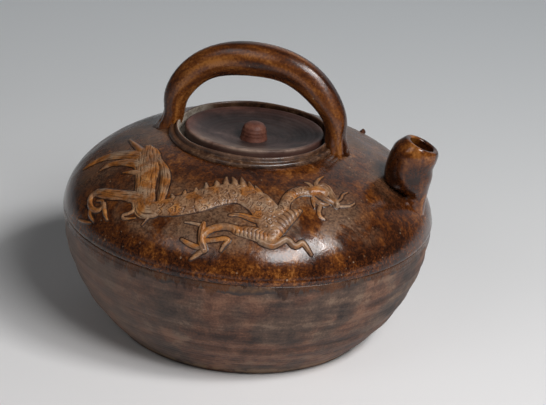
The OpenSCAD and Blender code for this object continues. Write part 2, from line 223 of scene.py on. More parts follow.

# %% [markdown]
# ## The studio
# The jar stands on a pale sheet. The lamps reach its far end less, so there it is painted paler and bluer
# and has a faint glow of its own: painted light. Two soft boxes stand right of the camera, and the glaze
# shows each as one bright patch; a weak one stands left. The surroundings are dim in front, so that the
# glaze keeps its depth, and pale behind, where the sides of the jar mirror them. What the glaze mirrors is
# brighter than what lights the sheet, so that the cast shadow stays deep.

# %% Floor, backdrop and lamps
FLOOR_SIZE = 14
BACKWARDS = (-math.sin(VIEW_AZ), math.cos(VIEW_AZ), 0)
BACKDROP = (0.06, 0.93, 0.36)
bpy.ops.object.select_all(action="DESELECT")
bpy.ops.mesh.primitive_plane_add(size=FLOOR_SIZE)
floor = bpy.context.object
floor.name = "pale_floor"
sheet, at = start("pale_sheet")
depth = at.node("ShaderNodeVectorMath", {"operation": "DOT_PRODUCT"},
                {"Vector": at, "Vector_001": BACKWARDS}, "Value")
# Painted light: the sheet is paler and bluer towards the back, and its far end glows, where the lamps reach
# it less.
tone = ramp(step(depth, -0.4, 1.2), [(0.0, (0.80, 0.785, 0.785)), (0.35, (0.84, 0.845, 0.85)),
                                     (1.0, (0.92, 0.96, 0.99))])
far = ramp(step(depth, 0.1, 1.6), [(0.0, (0.0, 0.0, 0.0)), (1.0, (0.065, 0.072, 0.078))])
finish_surface(tone, 0.9, {"Specular IOR Level": 0.1, "Emission Color": far, "Emission Strength": 1.0})
floor.data.materials.append(sheet)


def soft_box(name, azimuth, elevation, distance, wide, high, power):
    """A flat lamp that looks at the jar. Azimuth is counted from +X."""
    out = towards(math.radians(azimuth), math.radians(elevation))
    bpy.ops.object.light_add(type="AREA", location=VIEW_AT + distance * out)
    lamp = bpy.context.object
    lamp.name = name
    lamp.rotation_euler = out.to_track_quat("Z", "Y").to_euler()
    lamp.data.shape = "RECTANGLE"
    lamp.data.size = wide
    lamp.data.size_y = high
    lamp.data.energy = power


soft_box("soft_box_front", -48, 41, 1.5, 0.54, 0.44, 11.2)
soft_box("soft_box_right", -23, 48, 1.5, 0.40, 0.32, 12)
soft_box("soft_box_left", -115, 38, 1.6, 0.8, 0.45, 2)

world = bpy.data.worlds.new("studio")
bpy.context.scene.world = world
world.use_nodes = True
world.node_tree.nodes.clear()
room = Shade(world.node_tree)
look = room.node("ShaderNodeTexCoord", {}, {}, "Generated")
behind = room.node("ShaderNodeVectorMath", {"operation": "DOT_PRODUCT"},
                   {"Vector": look, "Vector_001": BACKDROP}, "Value")
glow = ramp(step(behind, 0.70, 0.99), [(0.0, (0.06, 0.058, 0.056)), (1.0, (0.50, 0.525, 0.55))])
seen = room.node("ShaderNodeLightPath", {}, {}, "Is Camera Ray")
mirrored = room.node("ShaderNodeLightPath", {}, {}, "Is Glossy Ray")
air = room.node("ShaderNodeBackground", {}, {"Color": glow, "Strength": 0.5 + (seen + mirrored) * 0.5})
room.node("ShaderNodeOutputWorld", {}, {"Surface": air})

# %% [markdown]
# ## The brown glaze
# Iron glaze runs while it melts. It is almost black where it is thick, amber where it is thin, and mottled in
# between. Three noises of different size mix the two. The middle one is stretched along z, because the glaze
# ran down, and on the handle the two larger ones follow the bend. Over it lie dust, pale pits near the belly,
# a grey film under the dragon, a grey painted sheen on the sides that face away from the camera, where the
# pale surroundings are mirrored, and a thin edge at the left. Pits, film, sheen and edge fade between two
# heights above the belly, in metres.

# %% Glaze material
MM = 0.001
BELLY_Z = 84.5
RUN_DOWN = (1, 1, 0.6)
PITS_END = (0.0045, 0.0245)
SIDE_SHEEN = (0.0105, 0.0285)
SIDE_SHEEN_LIFT = 0.017
FRONT_FILM = (0.0155, 0.0245)
FRONT_FILM_END = (0.0395, 0.0515)
THIN_EDGE = (-0.0023, -0.0007)
THIN_RAGGED = 0.0075


def glaze(name, marked, pale, combed):
    """Marked by pits, film, painted side sheen and thin edge, paler, or combed along the bend that a piece
    carries.
    """
    made, at = start(name)
    z, _, x, y = round_the_pot(at)
    above = z - BELLY_Z * MM
    if combed:
        flow = carried(at, "along", "Vector")
    else:
        flow = at.node("ShaderNodeVectorMath", {"operation": "MULTIPLY"},
                       {"Vector": at, "Vector_001": RUN_DOWN}, "Vector")
    cloud = clouds(flow if combed else at, 38, 4.0, 0.62, 0.6)
    blot = clouds(flow, 120 + 90 * marked, 3.0, 0.6, 0.4)
    grain = clouds(at, 620, 3.0, 0.65)
    low = (1 - step(above, *PITS_END)) * marked
    amber = (0.5 + pale - low * 0.05 + (cloud - 0.5) * 0.9 + (blot - 0.5) * (0.95 - 0.35 * marked)
             + (grain - 0.5) * (0.5 + low * 0.5))
    brown = tones(amber, (0.28, 30, 12, 5), (0.42, 52, 24, 9), (0.53, 73, 36, 12), (0.64, 98, 53, 18),
                  (0.80, 140, 88, 40))
    # Front faces the camera. The grey on the sides that face away from it is painted sheen, the pale
    # surroundings mirrored there; under the dragon the grey is a thin film.
    front = x * 0.2 - y * 0.98
    patch = clouds(at, 46, 4.0, 0.62, 0.5)
    lifted = above - step(x, 0.2, 0.7) * SIDE_SHEEN_LIFT
    side_sheen = (1 - step(front, 0.15, 0.8)) * step(lifted, *SIDE_SHEEN)
    below_dragon = step(front, 0.55, 0.8) * step(above, *FRONT_FILM) * (1 - step(above, *FRONT_FILM_END))
    film = (step(patch, 0.34, 0.6) * side_sheen + step(patch, 0.38, 0.56) * below_dragon) * marked
    grey = tones(grain, (0.35, 72, 50, 36), (0.65, 128, 98, 74))
    filmed = blend(film * (0.6 + below_dragon * 0.2), brown, grey)
    pit = spots(at, 190, 0.30, 0.17) * (low * 0.8 + 0.1)
    pitted = blend(pit * 0.6, filmed, srgb(160, 132, 102))
    dusty = blend(spots(at, 330, 0.05, 0.2) * 0.6, pitted, srgb(150, 128, 104))
    ragged = clouds(vector(x, y, 0.0), 5.0, 5.0, 0.68)
    thin = (1 - step(above - THIN_RAGGED * ragged, *THIN_EDGE)) * step(0 - x, 0.35, 0.75) * marked
    edged = blend(thin * 0.8, dusty, tones(blot, (0.35, 50, 36, 28), (0.65, 104, 78, 54)))
    sheen = step(clouds(at, 70, 3.0, 0.6), 0.35, 0.7)
    rough = 0.1 + sheen * 0.08 + film * 0.16 + thin * 0.2 + pale * 1.6
    swell = clouds(at, 95, 2.0, 0.5) * 0.4 + blot * 0.3 + grain * 0.14 - pit * 0.4
    finish_surface(edged, rough, {"IOR": 1.46, "Normal": bumpy(swell, 0.5, 0.0009)})
    return made


shoulder_glaze = glaze("shoulder_glaze", 1.0, 0.02, False)
handle_glaze = glaze("handle_glaze", 0.0, 0.07, True)
spout_glaze = glaze("spout_glaze", 0.0, 0.0, False)
print("made", shoulder_glaze.name, handle_glaze.name, spout_glaze.name)

# %% [markdown]
# ## The bare clay below the belly
# The lower half was never dipped. It shows the potter's bands, grey to red, and just under the belly a thin
# dull run of glaze with a ragged, blue-black lower edge, and shorter brown drips from the seam over it. The
# bands are noise squeezed along z; both ragged edges are heights that wander with the direction round the
# pot. A few pale chips and a worn foot end it.

# %% Bare clay material
RUN_DEEP = 0.0130
RUN_RAGGED = 0.0150
DRIP_DEEP = 0.0110
SEAM_EDGE = 0.0005


def bare_clay():
    made, at = start("bare_clay")
    z, _, x, y = round_the_pot(at)
    above = z - BELLY_Z * MM
    band = clouds(vector(x * 0.02, y * 0.02, z), 120, 3.0, 0.6)
    scratch = clouds(vector(x * 0.05, y * 0.05, z * 1.6), 420, 3.0, 0.65)
    patch = clouds(at, 24, 3.0, 0.55, 0.3)
    grit = clouds(at, 700, 2.0, 0.6)
    mottle = clouds(at, 75, 4.0, 0.62, 0.4)
    tone = 0.51 + (band - 0.5) * 1.0 + (mottle - 0.5) * 0.8 + (scratch - 0.5) * 0.25 + (grit - 0.5) * 0.45
    grey = tones(tone, (0.28, 48, 40, 37), (0.45, 72, 57, 50), (0.58, 90, 71, 60), (0.75, 120, 98, 82))
    red = tones(tone, (0.28, 58, 40, 33), (0.5, 95, 63, 49), (0.72, 126, 88, 68))
    warm = blend(step(patch, 0.44, 0.58) * 0.8, grey, red)
    # Painted light: the left side of the clay is painted paler, where the lamps reach it less.
    clay = blend(step(0.1 - x, 0.0, 0.9) * 0.5, warm, srgb(124, 106, 96))
    wander = vector(x, y, 0.0)
    over_edge = above + RUN_DEEP - clouds(wander, 3.2, 6.0, 0.68) * RUN_RAGGED
    run = step(over_edge, -0.0004, 0.0006)
    dull = tones(clouds(at, 200, 4.0, 0.65), (0.3, 46, 36, 31), (0.5, 78, 57, 42), (0.7, 112, 82, 56))
    line = (1 - step(over_edge, 0.0006, 0.0036)) * run * step(clouds(wander, 9.0, 3.0), 0.34, 0.52)
    coated = blend(run * 0.9, clay, dull)
    edged = blend(line * 0.85, coated, srgb(48, 44, 45))
    tongue = step(clouds(wander, 8.0, 6.0, 0.7), 0.36, 0.64)
    drip = step(above + SEAM_EDGE + DRIP_DEEP * tongue, 0.0, 0.0012)
    dripped = blend(drip * 0.85, edged, tones(mottle, (0.35, 40, 20, 10), (0.65, 92, 54, 27)))
    chipped = blend(spots(at, 75, 0.07, 0.10) * 0.7, dripped, srgb(176, 160, 144))
    foot = step(z, 0.0015, 0.003) * (1 - step(z, 0.004, 0.008)) * step(mottle, 0.42, 0.55)
    worn = blend(foot * 0.6, chipped, srgb(142, 118, 92))
    rough = 0.5 + grit * 0.2 - run * 0.14 - drip * 0.2
    swell = band * 0.6 + mottle * 0.7 + scratch * 0.2 + grit * 0.3
    finish_surface(worn, rough, {"Specular IOR Level": 0.3, "Normal": bumpy(swell, 0.5, 0.0007)})
    return made


pot_clay = bare_clay()
print("made", pot_clay.name)

# %% [markdown]
# ## Lid clay and relief clay
# The lid is unglazed: a purple brown body, redder at the rim and on the knob. The rim is reddest at the left,
# partly painted light. Its front is painted paler, painted light broken up by pale dust, and its side wall,
# which a number on each vertex marks, turns from red brown to an almost black painted shade lower down. The
# dragon is buff to orange clay that the glaze only half covers. Each vertex of it carries how high it stands
# and how deep a stamped line is there, and the colour follows them: tan on top, brown in the lines, dark at
# the root.

# %% Lid and relief materials


def lid_clay(name, redness):
    made, at = start(name)
    _, radius, x, y = round_the_pot(at)
    dust = clouds(at, 55, 5.0, 0.62, 0.6)
    grit = clouds(at, 700, 2.0, 0.6)
    ring = at.node("ShaderNodeTexNoise", {"noise_dimensions": "1D"},
                   {"W": radius, "Scale": 260, "Detail": 2.0}, "Fac")
    tone = dust * 0.65 + ring * 0.12 + grit * 0.23
    body = tones(tone, (0.34, 38, 28, 26), (0.47, 56, 42, 39), (0.58, 74, 58, 54), (0.72, 104, 88, 82))
    red = tones(tone, (0.34, 66, 34, 26), (0.5, 98, 57, 44), (0.68, 128, 86, 68))
    # The rim is redder, most at the left: partly its own colour, partly painted light where the dish faces
    # the lamps.
    left = 1 - step(x * radius, -0.03, 0.02)
    rim = step(radius, 0.036, 0.048) * (0.35 + left * 0.65)
    warm = blend(rim * 0.8 * (1 - redness) + redness, body, red)
    # Painted light: the front of the lid is painted paler, broken up by pale dust.
    front = step(0 - y * radius, 0.010, 0.044) * (1 - redness)
    dust_and_painted_light = blend(front * step(dust, 0.28, 0.6) * 0.9, warm, srgb(142, 120, 106))
    # Painted shade: the side wall is red brown at the top and almost black lower down, in the gap to the
    # collar.
    wall = carried(at, "wall")
    sided = blend(step(wall, 0.0, 0.3) * 0.9, dust_and_painted_light, srgb(66, 42, 36))
    clay = blend(step(wall, 0.3, 0.9) * 0.9, sided, srgb(22, 15, 12))
    normal = bumpy(ring * 0.35 + grit * 0.4 + dust * 0.5, 0.4, 0.0005)
    finish_surface(clay, 0.42 + grit * 0.2, {"Specular IOR Level": 0.28, "Normal": normal})
    return made


def relief_clay():
    made, at = start("relief_clay")
    mottle = clouds(at, 120, 4.0, 0.62)
    grit = clouds(at, 800, 2.0, 0.6)
    ochre = clouds(at, 75, 3.0, 0.6, 0.5)
    tone = mottle * 0.65 + grit * 0.35
    buff = tones(tone, (0.34, 96, 64, 42), (0.5, 132, 97, 69), (0.66, 164, 130, 98))
    orange = tones(tone, (0.34, 104, 60, 24), (0.5, 146, 90, 40), (0.66, 178, 124, 66))
    left = step(0 - round_the_pot(at)[2], 0.1, 0.6)
    top = blend(step(ochre + left * 0.08, 0.48, 0.62), buff, orange)
    film = step(clouds(at, 60, 3.0, 0.6), 0.5, 0.64)
    greyed = blend(film * 0.4, top, srgb(146, 130, 112))
    veil = step(clouds(at, 95, 4.0, 0.66, 0.5), 0.5, 0.66)
    veiled = blend(veil * (0.25 + left * 0.25), greyed, srgb(88, 52, 25))
    groove = carried(at, "groove") + (mottle - 0.5) * 0.5
    shaded = blend(step(groove, 0.12, 0.7) * 0.82, veiled, srgb(66, 36, 17))
    pooled = tones(mottle, (0.35, 26, 11, 6), (0.65, 58, 30, 14))
    high = carried(at, "high") + (mottle - 0.5) * 0.4
    rooted = blend(step(high, 0.0, 0.28), pooled, shaded)
    normal = bumpy(mottle * 0.6 + grit * 0.3, 0.5, 0.0006)
    finish_surface(rooted, 0.2 + mottle * 0.3, {"Specular IOR Level": 0.4, "Normal": normal})
    return made


plate_clay = lid_clay("lid_clay", 0.0)
knob_clay = lid_clay("knob_clay", 0.9)
dragon_clay = relief_clay()
print("made", plate_clay.name, knob_clay.name, dragon_clay.name)

# %% [markdown]
# ## The shape of the pot
# Both halves of the pot are quarter ellipses that share the belly. Sizes are in millimetres. A place on the
# shoulder is an azimuth and a latitude, as on a globe, and a lift above the surface. Nothing thrown by hand
# is a true circle, so a slow wobble of up to about a millimetre runs round the wall, and all that is laid on
# the shoulder follows it. A thrown piece is a section, drawn once and spun.

# %% Shape functions
BELLY_R = 127.5
RISE = 60.64


def wobble(az, z):
    slow = 0.5 * np.sin(2 * az + 0.9) + 0.3 * np.sin(3 * az - z / 30) + 0.18 * np.sin(5 * az + z / 17 + 2)
    return slow * np.clip((z - 10) / 40, 0, 1) * np.clip((138 - z) / 25, 0, 1)


def on_shoulder(az, lat, lift):
    """Places on the shoulder in millimetres, from azimuth and latitude in radians and the lift."""
    nr = RISE * np.cos(lat)
    nz = BELLY_R * np.sin(lat)
    size = np.hypot(nr, nz)
    z = BELLY_Z + RISE * np.sin(lat)
    r = BELLY_R * np.cos(lat) + wobble(az, z) + lift * nr / size
    return np.stack([r * np.cos(az), r * np.sin(az), z + lift * nz / size], -1)


def points(obj):
    flat = np.empty(3 * len(obj.data.vertices))
    obj.data.vertices.foreach_get("co", flat)
    return flat.reshape(-1, 3) / MM


def move(obj, places):
    obj.data.vertices.foreach_set("co", (np.asarray(places) * MM).ravel())
    obj.data.update()


def ready(obj, name, body, slot, material, *nodes):
    """Names a finished piece, gives it its finish and hangs it on its body in place of CAD nodes."""
    obj.name = name
    obj.data.name = name
    obj.data.materials.clear()
    obj.data.materials.append(material)
    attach(obj, body)
    if nodes:
        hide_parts(*nodes)
    print(name, len(obj.data.polygons), "faces")


def edit(action):
    """Enters edit mode and selects all or nothing of the active piece."""
    bpy.ops.object.mode_set(mode="EDIT")
    bpy.ops.mesh.select_all(action=action)


def leave():
    bpy.ops.object.mode_set(mode="OBJECT")


def face_out():
    """Turns the faces of the active piece outwards and shades them smooth."""
    edit("SELECT")
    bpy.ops.mesh.normals_make_consistent(inside=False)
    leave()
    bpy.ops.object.shade_smooth()


def turned(section, steps, axis_x=0.0):
    """A closed section of radius and height in millimetres, spun round an upright axis."""
    bpy.ops.object.select_all(action="DESELECT")
    bpy.ops.mesh.primitive_circle_add(vertices=len(section), radius=1)
    obj = bpy.context.object
    move(obj, [(axis_x + r, 0, z) for r, z in section])
    edit("SELECT")
    bpy.ops.mesh.spin(steps=steps, angle=2 * math.pi, center=(axis_x * MM, 0, 0), axis=(0, 0, 1))
    bpy.ops.mesh.select_all(action="SELECT")
    bpy.ops.mesh.remove_doubles(threshold=1e-6)
    leave()
    face_out()
    return obj


def oval(a, b, first, last, count):
    """Points of a quarter ellipse about the belly, between two latitudes in degrees."""
    lat = np.radians(np.linspace(first, last, count))
    return list(zip(a * np.cos(lat), BELLY_Z + b * np.sin(lat)))


print("belly", 2 * BELLY_R, "mm across at height", BELLY_Z, "mm")

# %% [markdown]
# ## The lower bowl
# The lower half is a turned piece. Its wall is pressed in and out by a fraction of a millimetre: rings that
# climb slightly as the hands of the potter did, and the wobble. A ring is its height, its width and how far
# it stands out.

# %% Lower bowl
TURN_STEPS = 420
SEAM_STEP = 0.35
FOOT_R = 89.4
FOOT_H = 4.0
FOOT_BEVEL = 3.4
FLOOR_T = 7.0
DROP = 113.65
WALL = 6.0
RING_CLIMB = 2.2
RINGS = [(78, 2.2, 0.30), (70, 3.0, -0.35), (63, 1.6, 0.35), (54, 3.2, 0.45), (46, 1.8, -0.40),
         (39, 2.4, 0.35), (31, 1.5, -0.30), (25, 2.6, 0.55), (17, 2.0, -0.35), (10, 1.6, 0.35)]


def polar(places, axis_x=0.0):
    """Azimuth and distance of places, seen from an upright axis."""
    x = places[:, 0] - axis_x
    return np.arctan2(places[:, 1], x), np.hypot(x, places[:, 1])


def push_out(places, az, by):
    """Moves places away from an upright axis, each along its azimuth."""
    places[:, 0] += by * np.cos(az)
    places[:, 1] += by * np.sin(az)


def outer_skin(radius, z, depth):
    """True where a point of a half pot is on its outside. Depth is the height of the half's hollow."""
    hollow = (BELLY_R - WALL) * np.sqrt(np.clip(1 - ((z - BELLY_Z) / depth) ** 2, 0, 1))
    return radius > hollow + 2


foot_lat = math.degrees(math.asin((BELLY_Z - FOOT_H) / DROP))
floor_lat = math.degrees(math.asin((BELLY_Z - FLOOR_T) / (DROP - WALL)))
outside = oval(BELLY_R - SEAM_STEP, -DROP, 0, foot_lat, 105)
inside = oval(BELLY_R - WALL, WALL - DROP, floor_lat, 0, 24)
bevel = [(FOOT_R - 0.8, 2.4), (FOOT_R - 2.0, 0.8), (FOOT_R - FOOT_BEVEL, 0), (0, 0), (0, FLOOR_T)]
bowl = turned(outside + bevel + inside, TURN_STEPS)

place = points(bowl)
az, radius = polar(place)
climb = place[:, 2] + RING_CLIMB * az / math.pi + 0.6 * np.sin(2 * az)
press = sum(deep * np.exp(-((climb - at) / wide) ** 2) for at, wide, deep in RINGS)
press += 0.12 * np.sin(climb * 2.4) + wobble(az, place[:, 2])
press *= outer_skin(radius, place[:, 2], DROP - WALL) & (place[:, 2] > FOOT_H - 1)
push_out(place, az, press)
move(bowl, place)
ready(bowl, "lower_bowl_bare_clay", "pot", "bare_clay", pot_clay, "lower_bowl")

# %% [markdown]
# ## The glazed shoulder
# The upper half overhangs the lower by a small step, and the glaze ends there in a rolled edge. The pouring
# hole is cut with a Boolean modifier, as a potter cuts it with a wire. It lies under the neck of the spout,
# which stands a little further out and lower than the middle of the spout's foot.

# %% Shoulder
MOUTH_R = 52.5
SLIP = 0.1
SPOUT_LAT = math.radians(32.2)
SPOUT_LEAN = math.atan2(RISE * math.cos(SPOUT_LAT), BELLY_R * math.sin(SPOUT_LAT))
SPOUT_FOOT = on_shoulder(np.array(0.0), np.array(SPOUT_LAT), np.array(0.0))
NECK_OFF = np.array([6.0, 0, -5.0])
POUR_R = 6.2
WIRE_LONG = 30
ROLL = [(-3.0, SLIP), (-0.5, SLIP), (-0.1, 0.4), (0.12, 1.2), (0.14, 2.2), (0.02, 3.2)]
top_lat = math.degrees(math.acos(MOUTH_R / BELLY_R))
inner_lat = math.degrees(math.acos(MOUTH_R / (BELLY_R - WALL)))
roll = [(BELLY_R + out, BELLY_Z + up) for out, up in ROLL]
outside = oval(BELLY_R, RISE, 4.0, top_lat, 110)
inside = oval(BELLY_R - WALL, RISE - WALL, inner_lat, 0.2, 26)
shoulder = turned(roll + outside + inside, TURN_STEPS)

place = points(shoulder)
az, radius = polar(place)
push_out(place, az, wobble(az, place[:, 2]) * outer_skin(radius, place[:, 2], RISE - WALL))
move(shoulder, place)

bpy.ops.object.select_all(action="DESELECT")
bpy.ops.mesh.primitive_cylinder_add(vertices=48, radius=POUR_R * MM, depth=WIRE_LONG * MM,
                                    location=tuple((SPOUT_FOOT + NECK_OFF) * MM), rotation=(0, SPOUT_LEAN, 0))
wire = bpy.context.object
bpy.ops.object.select_all(action="DESELECT")
shoulder.select_set(True)
bpy.context.view_layer.objects.active = shoulder
cut = shoulder.modifiers.new("pouring_hole", "BOOLEAN")
cut.operation = "DIFFERENCE"
cut.object = wire
bpy.ops.object.modifier_apply(modifier=cut.name)
bpy.data.objects.remove(wire)
ready(shoulder, "shoulder_brown_glaze", "pot", "brown_glaze", shoulder_glaze, "shoulder")

# %% [markdown]
# ## The mouth collar
# A low collar stands on the shoulder: a bead at its foot, a groove, a thin rim, and inside it the ledge that
# carries the lid. Its section is drawn from a few arcs and spun, and its rim waves a little. At the far left
# the glaze stops at the rim, and the wall inside it and the ledge are pale bare clay.

# %% Mouth collar
COLLAR_R = 58.0
COLLAR_Z = 138.5
RIM_R = 53.5
RIM_IN_R = 51.5
RIM_Z = 144.5
LEDGE_Z = 136.7
LEDGE_T = 5.0
THROAT_R = 44.5
BEAD_R = 2.2
GROOVE = [(54.7, 141.5), (54.2, 141.3), (53.8, 141.7), (53.6, 142.5)]


def arc(x, z, r, first, last, count):
    turn = np.radians(np.linspace(first, last, count))
    return list(zip(x + r * np.cos(turn), z + r * np.sin(turn)))


seat = oval(BELLY_R, RISE, top_lat, math.degrees(math.acos(COLLAR_R / BELLY_R)), 8)
bead = arc(COLLAR_R - BEAD_R, COLLAR_Z + BEAD_R / 2, BEAD_R, -35, 110, 14)
rim = arc(RIM_R - 1, RIM_Z - 1, 1, -10, 185, 12)
ledge = [(RIM_IN_R, 141.6), (RIM_IN_R + 0.1, 139.0), (RIM_IN_R, 137.4), (RIM_IN_R - 0.6, LEDGE_Z),
         (THROAT_R + 0.6, LEDGE_Z), (THROAT_R, LEDGE_Z - 0.8), (THROAT_R, LEDGE_Z - LEDGE_T),
         (MOUTH_R - SLIP, LEDGE_Z - LEDGE_T)]
collar = turned(seat + bead + GROOVE + rim + ledge, 300)
place = points(collar)
az, _ = polar(place)
lively = np.clip((place[:, 2] - COLLAR_Z - 1) / 3, 0, 1)
place[:, 2] += lively * (0.28 * np.sin(3 * az + 0.4) + 0.16 * np.sin(7 * az + 1.3))
push_out(place, az, lively * (0.22 * np.sin(2 * az + 2.2) + 0.12 * np.sin(5 * az)))
move(collar, place)


def collar_finish():
    made, at = start("collar_glaze")
    z, radius, x, y = round_the_pot(at)
    blot = clouds(at, 170, 4.0, 0.62, 0.4)
    grain = clouds(at, 620, 3.0, 0.65)
    tone = 0.5 + (blot - 0.5) * 0.9 + (grain - 0.5) * 0.6
    brown = tones(tone, (0.3, 32, 18, 12), (0.45, 54, 33, 21), (0.57, 78, 52, 34), (0.72, 116, 88, 66))
    worn = step(z + (blot - 0.5) * 0.003, (RIM_Z - 2) * MM, (RIM_Z - 0.3) * MM)
    # Near the rim the red brown is wear; on the left side it is painted light, where the lamps reach the
    # collar less.
    left = step(0 - x, 0.2, 0.8)
    wear_and_painted_light = blend(worn * 0.5 + left * 0.35, brown, srgb(96, 68, 52))
    pale = tones(tone, (0.35, 120, 106, 94), (0.5, 158, 146, 132), (0.65, 184, 174, 160))
    within = 1 - step(radius + (blot - 0.5) * 0.002, (RIM_IN_R + 0.5) * MM, (RIM_IN_R + 1.1) * MM)
    inside = within * (1 - step(x * 0.97 + y * 0.24, -0.8, -0.5))
    clay = blend(inside, wear_and_painted_light, pale)
    normal = bumpy(blot * 0.7 + grain * 0.15, 0.5, 0.0008)
    finish_surface(clay, 0.22 + blot * 0.2 + inside * 0.3, {"IOR": 1.55, "Normal": normal})
    return made


ready(collar, "mouth_collar_glaze", "pot", "brown_glaze", collar_finish(), "mouth_collar")

# %% [markdown]
# ## The lid
# The lid is a shallow saucer that lies loose on the ledge, with a small knob. Both are turned. The lid lies a
# little askew: its axis is off the jar's, its front edge stands higher than its back, and it is pushed back.
# The dish keeps the faint spiral that a finger leaves on the wheel, and the knob leans.

# %% Lid plate and knob
LID_OFF = 0.5
LID_R = 47.8
LID_SEAT_Z = 137.0
LID_TOP_Z = 144.4
LIP_R = 1.2
DISH_Z = 137.4
DISH_DEPTH = 7.0
LID_T = 7.6
FLANGE_R = THROAT_R - 2.2
LID_TILT = 0.058
LID_BACK = 1.3
FLAT_R = 10.25
DISH_R = 45.6
KNOB_LEAN = 0.03
KNOB = [(0, 136.4), (9.0, 136.4), (9.5, 137.6), (9.1, 138.8), (8.8, 140.2), (8.6, 141.8), (8.4, 143.4),
        (8.0, 145.0), (7.4, 146.4), (6.3, 147.6), (4.8, 148.5), (3.1, 149.0), (1.5, 149.2), (0, 149.2)]


def dish(r):
    return DISH_Z + DISH_DEPTH * (np.maximum(r - FLAT_R, 0) / (DISH_R - FLAT_R)) ** 2


def carry(obj, name, values):
    """Writes a number or a vector on each vertex, for the material to read."""
    kind, key = ("FLOAT", "value") if values.ndim == 1 else ("FLOAT_VECTOR", "vector")
    obj.data.attributes.new(name, kind, "POINT").data.foreach_set(key, values.ravel())


over = np.linspace(0, DISH_R, 70)
under = np.linspace(FLANGE_R, 0, 16)[1:]
lip = arc(LID_R - LIP_R, LID_TOP_Z - LIP_R, LIP_R, 80, 0, 8)
edge = [(LID_R, LID_SEAT_Z + 0.4), (LID_R - 0.4, LID_SEAT_Z), (FLANGE_R, LID_SEAT_Z)]
plate = turned(list(zip(over, dish(over))) + lip + edge + list(zip(under, dish(under) - LID_T)), 240, LID_OFF)
place = points(plate)
az, off = polar(place, LID_OFF)
upper = np.clip((place[:, 2] - dish(off) + 1.5) / 1.0, 0, 1) * np.clip((off - 9) / 4, 0, 1)
place[:, 2] += upper * (0.04 * np.sin(off * 1.9 + az) + 0.08 * np.sin(off * 0.7 - az + 1))
# This number grows down the lid's side wall, where the material paints shade in the gap to the collar.
carry(plate, "wall", np.clip((LID_TOP_Z - 0.8 - place[:, 2]) / 4, 0, 1) * (off > LID_R - 0.6))
place[:, 2] -= LID_TILT * place[:, 1] * np.clip((place[:, 2] - LID_SEAT_Z) / 2, 0, 1)
place[:, 1] += LID_BACK
move(plate, place)
ready(plate, "lid_plate_clay", "lid", "lid_clay", plate_clay, "lid_plate")

fine = np.linspace(0, len(KNOB) - 1, 60)
section = np.stack([np.interp(fine, range(len(KNOB)), column) for column in zip(*KNOB)], -1)
knob = turned(section, 96, LID_OFF)
place = points(knob)
az, off = polar(place, LID_OFF)
ring = 0.08 * np.sin(place[:, 2] * 2.6 + az) * np.clip((place[:, 2] - 139) / 2, 0, 1)
push_out(place, az, ring * np.clip((off - 2) / 3, 0, 1))
place[:, 0] += KNOB_LEAN * np.clip(place[:, 2] - 140, 0, None)
move(knob, place)
ready(knob, "lid_knob_clay", "lid", "lid_clay", knob_clay, "lid_knob")

# %% [markdown]
# ## The handle
# The handle is a rolled strap of clay, bent over the mouth and pressed on at both roots. A tube is extruded
# straight, ring by ring, and its rings are then laid along the arch. Slow lumps, a ridge along the outside,
# pressed grooves and roots that flare into the shoulder take away the look of a bent pipe. Each vertex
# carries its place along the tube, shortened, so that the glaze is drawn out along the bend.

# %% Handle
HANDLE_RINGS = 150
HANDLE_SIDES = 44
SPAN = 60.5
ROOT_Z = 137.9
HANDLE_RISE = 57.0
ARCH = 2.15
DRAWN_IN = 2.4
ROOT_THICK = 11
CROWN_THICK = 23.4
ROOT_WIDE = 17
CROWN_WIDE = 21
ROOT_REACH = 0.22
RIDGE_AT = -0.5
GROOVES_AT = (-2.2, -1.35, -0.5)
ROOT_SINK = 6
FLARE = 5.0
COMB = 13.64


def tube(sides, rings):
    """An upright tube of rings, one metre apart, with closed ends, and each vertex's ring and angle."""
    bpy.ops.object.select_all(action="DESELECT")
    bpy.ops.mesh.primitive_circle_add(vertices=sides, radius=1, fill_type="NGON")
    obj = bpy.context.object
    edit("SELECT")
    for _ in range(rings - 1):
        bpy.ops.mesh.extrude_region_move(TRANSFORM_OT_translate={"value": (0, 0, 1)})
    leave()
    face_out()
    straight = points(obj) * MM
    return obj, np.rint(straight[:, 2]).astype(int), polar(straight)[0]


def arch(a):
    """The middle line of the handle in x and z, from the spout side over the crown to the far side."""
    x = SPAN * np.sign(np.cos(a)) * np.abs(np.cos(a)) ** (2 / ARCH)
    up = HANDLE_RISE * np.clip(np.sin(a), 0, 1) ** (2 / ARCH)
    return x - DRAWN_IN * np.sign(x) * np.exp(-((up - 9) / 10) ** 2), ROOT_Z + up


def near_side(side, at, width):
    """1 at one angle round the tube, and less with the distance from it."""
    return np.exp(-(np.angle(np.exp(1j * (side - at))) / width) ** 2)


handle, ring, side = tube(HANDLE_SIDES, HANDLE_RINGS)
bend = np.pi * np.linspace(0, 1, HANDLE_RINGS)[ring]
x, z = arch(bend)
x_next, z_next = arch(np.clip(bend + 0.008, 0, np.pi))
x_last, z_last = arch(np.clip(bend - 0.008, 0, np.pi))
along = np.hypot(x_next - x_last, z_next - z_last)
out_x = (z_next - z_last) / along
out_z = -(x_next - x_last) / along
swell = np.clip(np.sin(bend), 0, 1) ** 0.8
thick = ROOT_THICK + (CROWN_THICK - ROOT_THICK) * swell
wide = ROOT_WIDE + (CROWN_WIDE - ROOT_WIDE) * swell
root = np.exp(-(np.minimum(bend, np.pi - bend) / ROOT_REACH) ** 2)
lump = 0.5 * np.sin(6.2 * bend + side) + 0.35 * np.sin(7.3 * bend + 2 * side + 1)
ridge = 0.8 * near_side(side, RIDGE_AT, 0.35) * swell
pressed = 1.6 * root ** 3 - 1.1 * root * sum(near_side(side, at, 0.24) for at in GROOVES_AT)
z = z - ROOT_SINK * ((ring == 0) | (ring == HANDLE_RINGS - 1))
